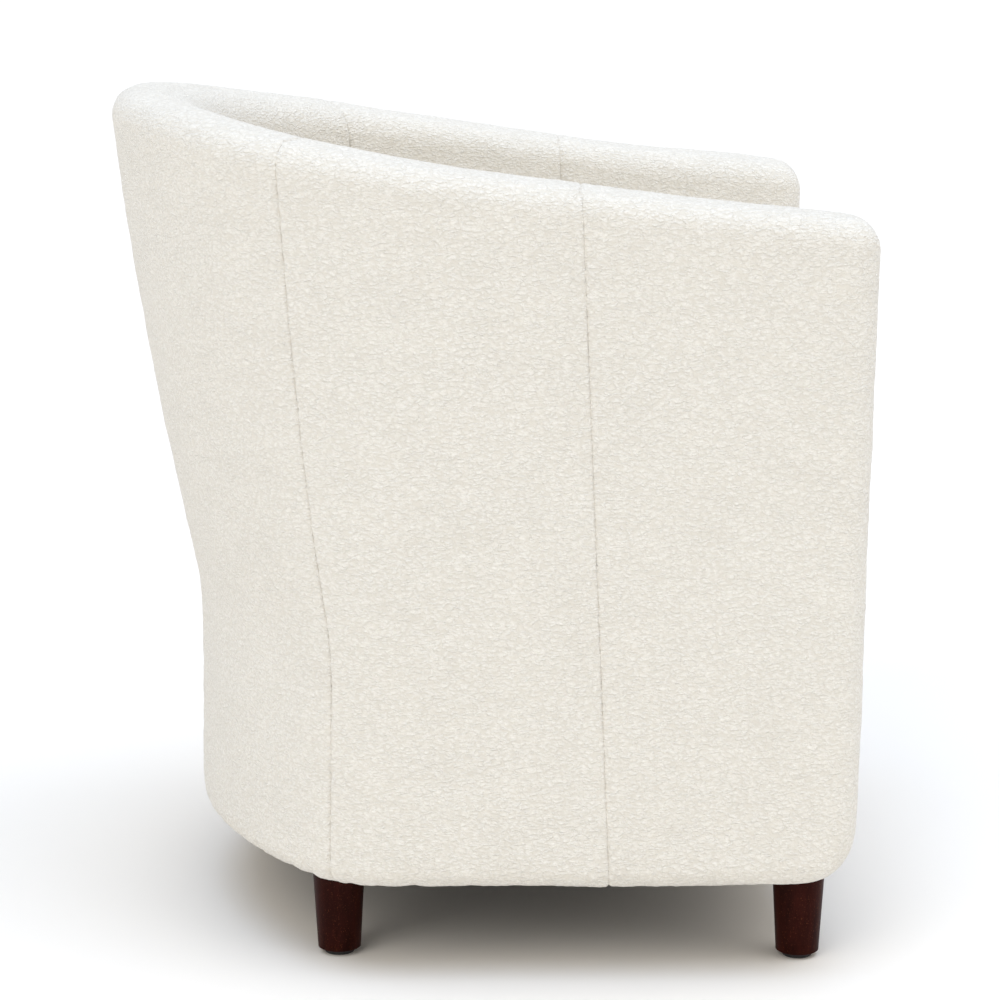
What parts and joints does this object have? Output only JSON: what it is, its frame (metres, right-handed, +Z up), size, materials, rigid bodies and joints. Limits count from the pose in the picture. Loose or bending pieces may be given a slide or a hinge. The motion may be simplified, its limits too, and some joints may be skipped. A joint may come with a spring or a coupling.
{
  "type": "upholstered tub armchair",
  "caption": "Low barrel-backed tub armchair in nubby cream fabric, with a rim that slopes down to rounded arm fronts, a loose seat cushion and short tapered dark wood legs.",
  "frame": {"origin": "floor level under the middle of the bounding box", "axes": "+Z up, -Y out of the front of the seat, +X to the sitter's left"},
  "size_m": [0.648, 0.6582, 0.7351],
  "materials": {
    "boucle": "nubby looped cream weave",
    "leg_wood": "dark espresso stain, satin",
    "glide": "matte black",
    "foam": "open-cell foam and wadding",
    "fibreboard": "plain fibreboard",
    "frame_wood": "plain plywood and softwood",
    "steel": "bright drawn steel",
    "felt": "grey needle felt",
    "dark_cloth": "thin black non-woven cloth"
  },
  "bodies": {
    "chair": {"apron_cover": "boucle", "apron_foam": "foam", "arm_front_pad_left": "foam", "arm_front_pad_right": "foam", "back_post_left": "frame_wood", "back_post_right": "frame_wood", "base_board": "frame_wood", "centre_post": "frame_wood", "cover_back": "boucle", "cover_front_left": "boucle", "cover_front_right": "boucle", "cover_side_left": "boucle", "cover_side_right": "boucle", "deck_cloth": "dark_cloth", "deck_foam": "foam", "dust_cover": "dark_cloth", "dust_staples": "steel", "front_board": "frame_wood", "front_post_left": "frame_wood", "front_post_right": "frame_wood", "glides": "glide", "hanger_bolts": "steel", "inner_foam_back": "foam", "inner_foam_left": "foam", "inner_foam_right": "foam", "inner_liner_back": "fibreboard", "inner_liner_left": "fibreboard", "inner_liner_right": "fibreboard", "leg_front_left": "leg_wood", "leg_front_right": "leg_wood", "leg_rear_left": "leg_wood", "leg_rear_right": "leg_wood", "outer_liner_back": "fibreboard", "outer_liner_left": "fibreboard", "outer_liner_right": "fibreboard", "rim_pad_back": "foam", "rim_pad_left": "foam", "rim_pad_right": "foam", "seat_ring": "frame_wood", "seat_spring_1": "steel", "seat_spring_2": "steel", "seat_spring_3": "steel", "seat_spring_4": "steel", "seat_spring_5": "steel", "side_post_left": "frame_wood", "side_post_right": "frame_wood", "spring_clips": "steel", "spring_felt": "felt", "tee_nuts": "steel", "tie_wires": "steel", "top_rail_back": "frame_wood", "top_rail_left": "frame_wood", "top_rail_right": "frame_wood"},
    "seat_cushion": {"cushion_cover": "boucle", "cushion_core": "foam"}
  },
  "joints": [
    {"name": "seat_cushion_lift", "type": "slide", "parent": "chair", "child": "seat_cushion", "axis": [0, 0, 1], "range_m": [0, 0.42]}
  ]
}
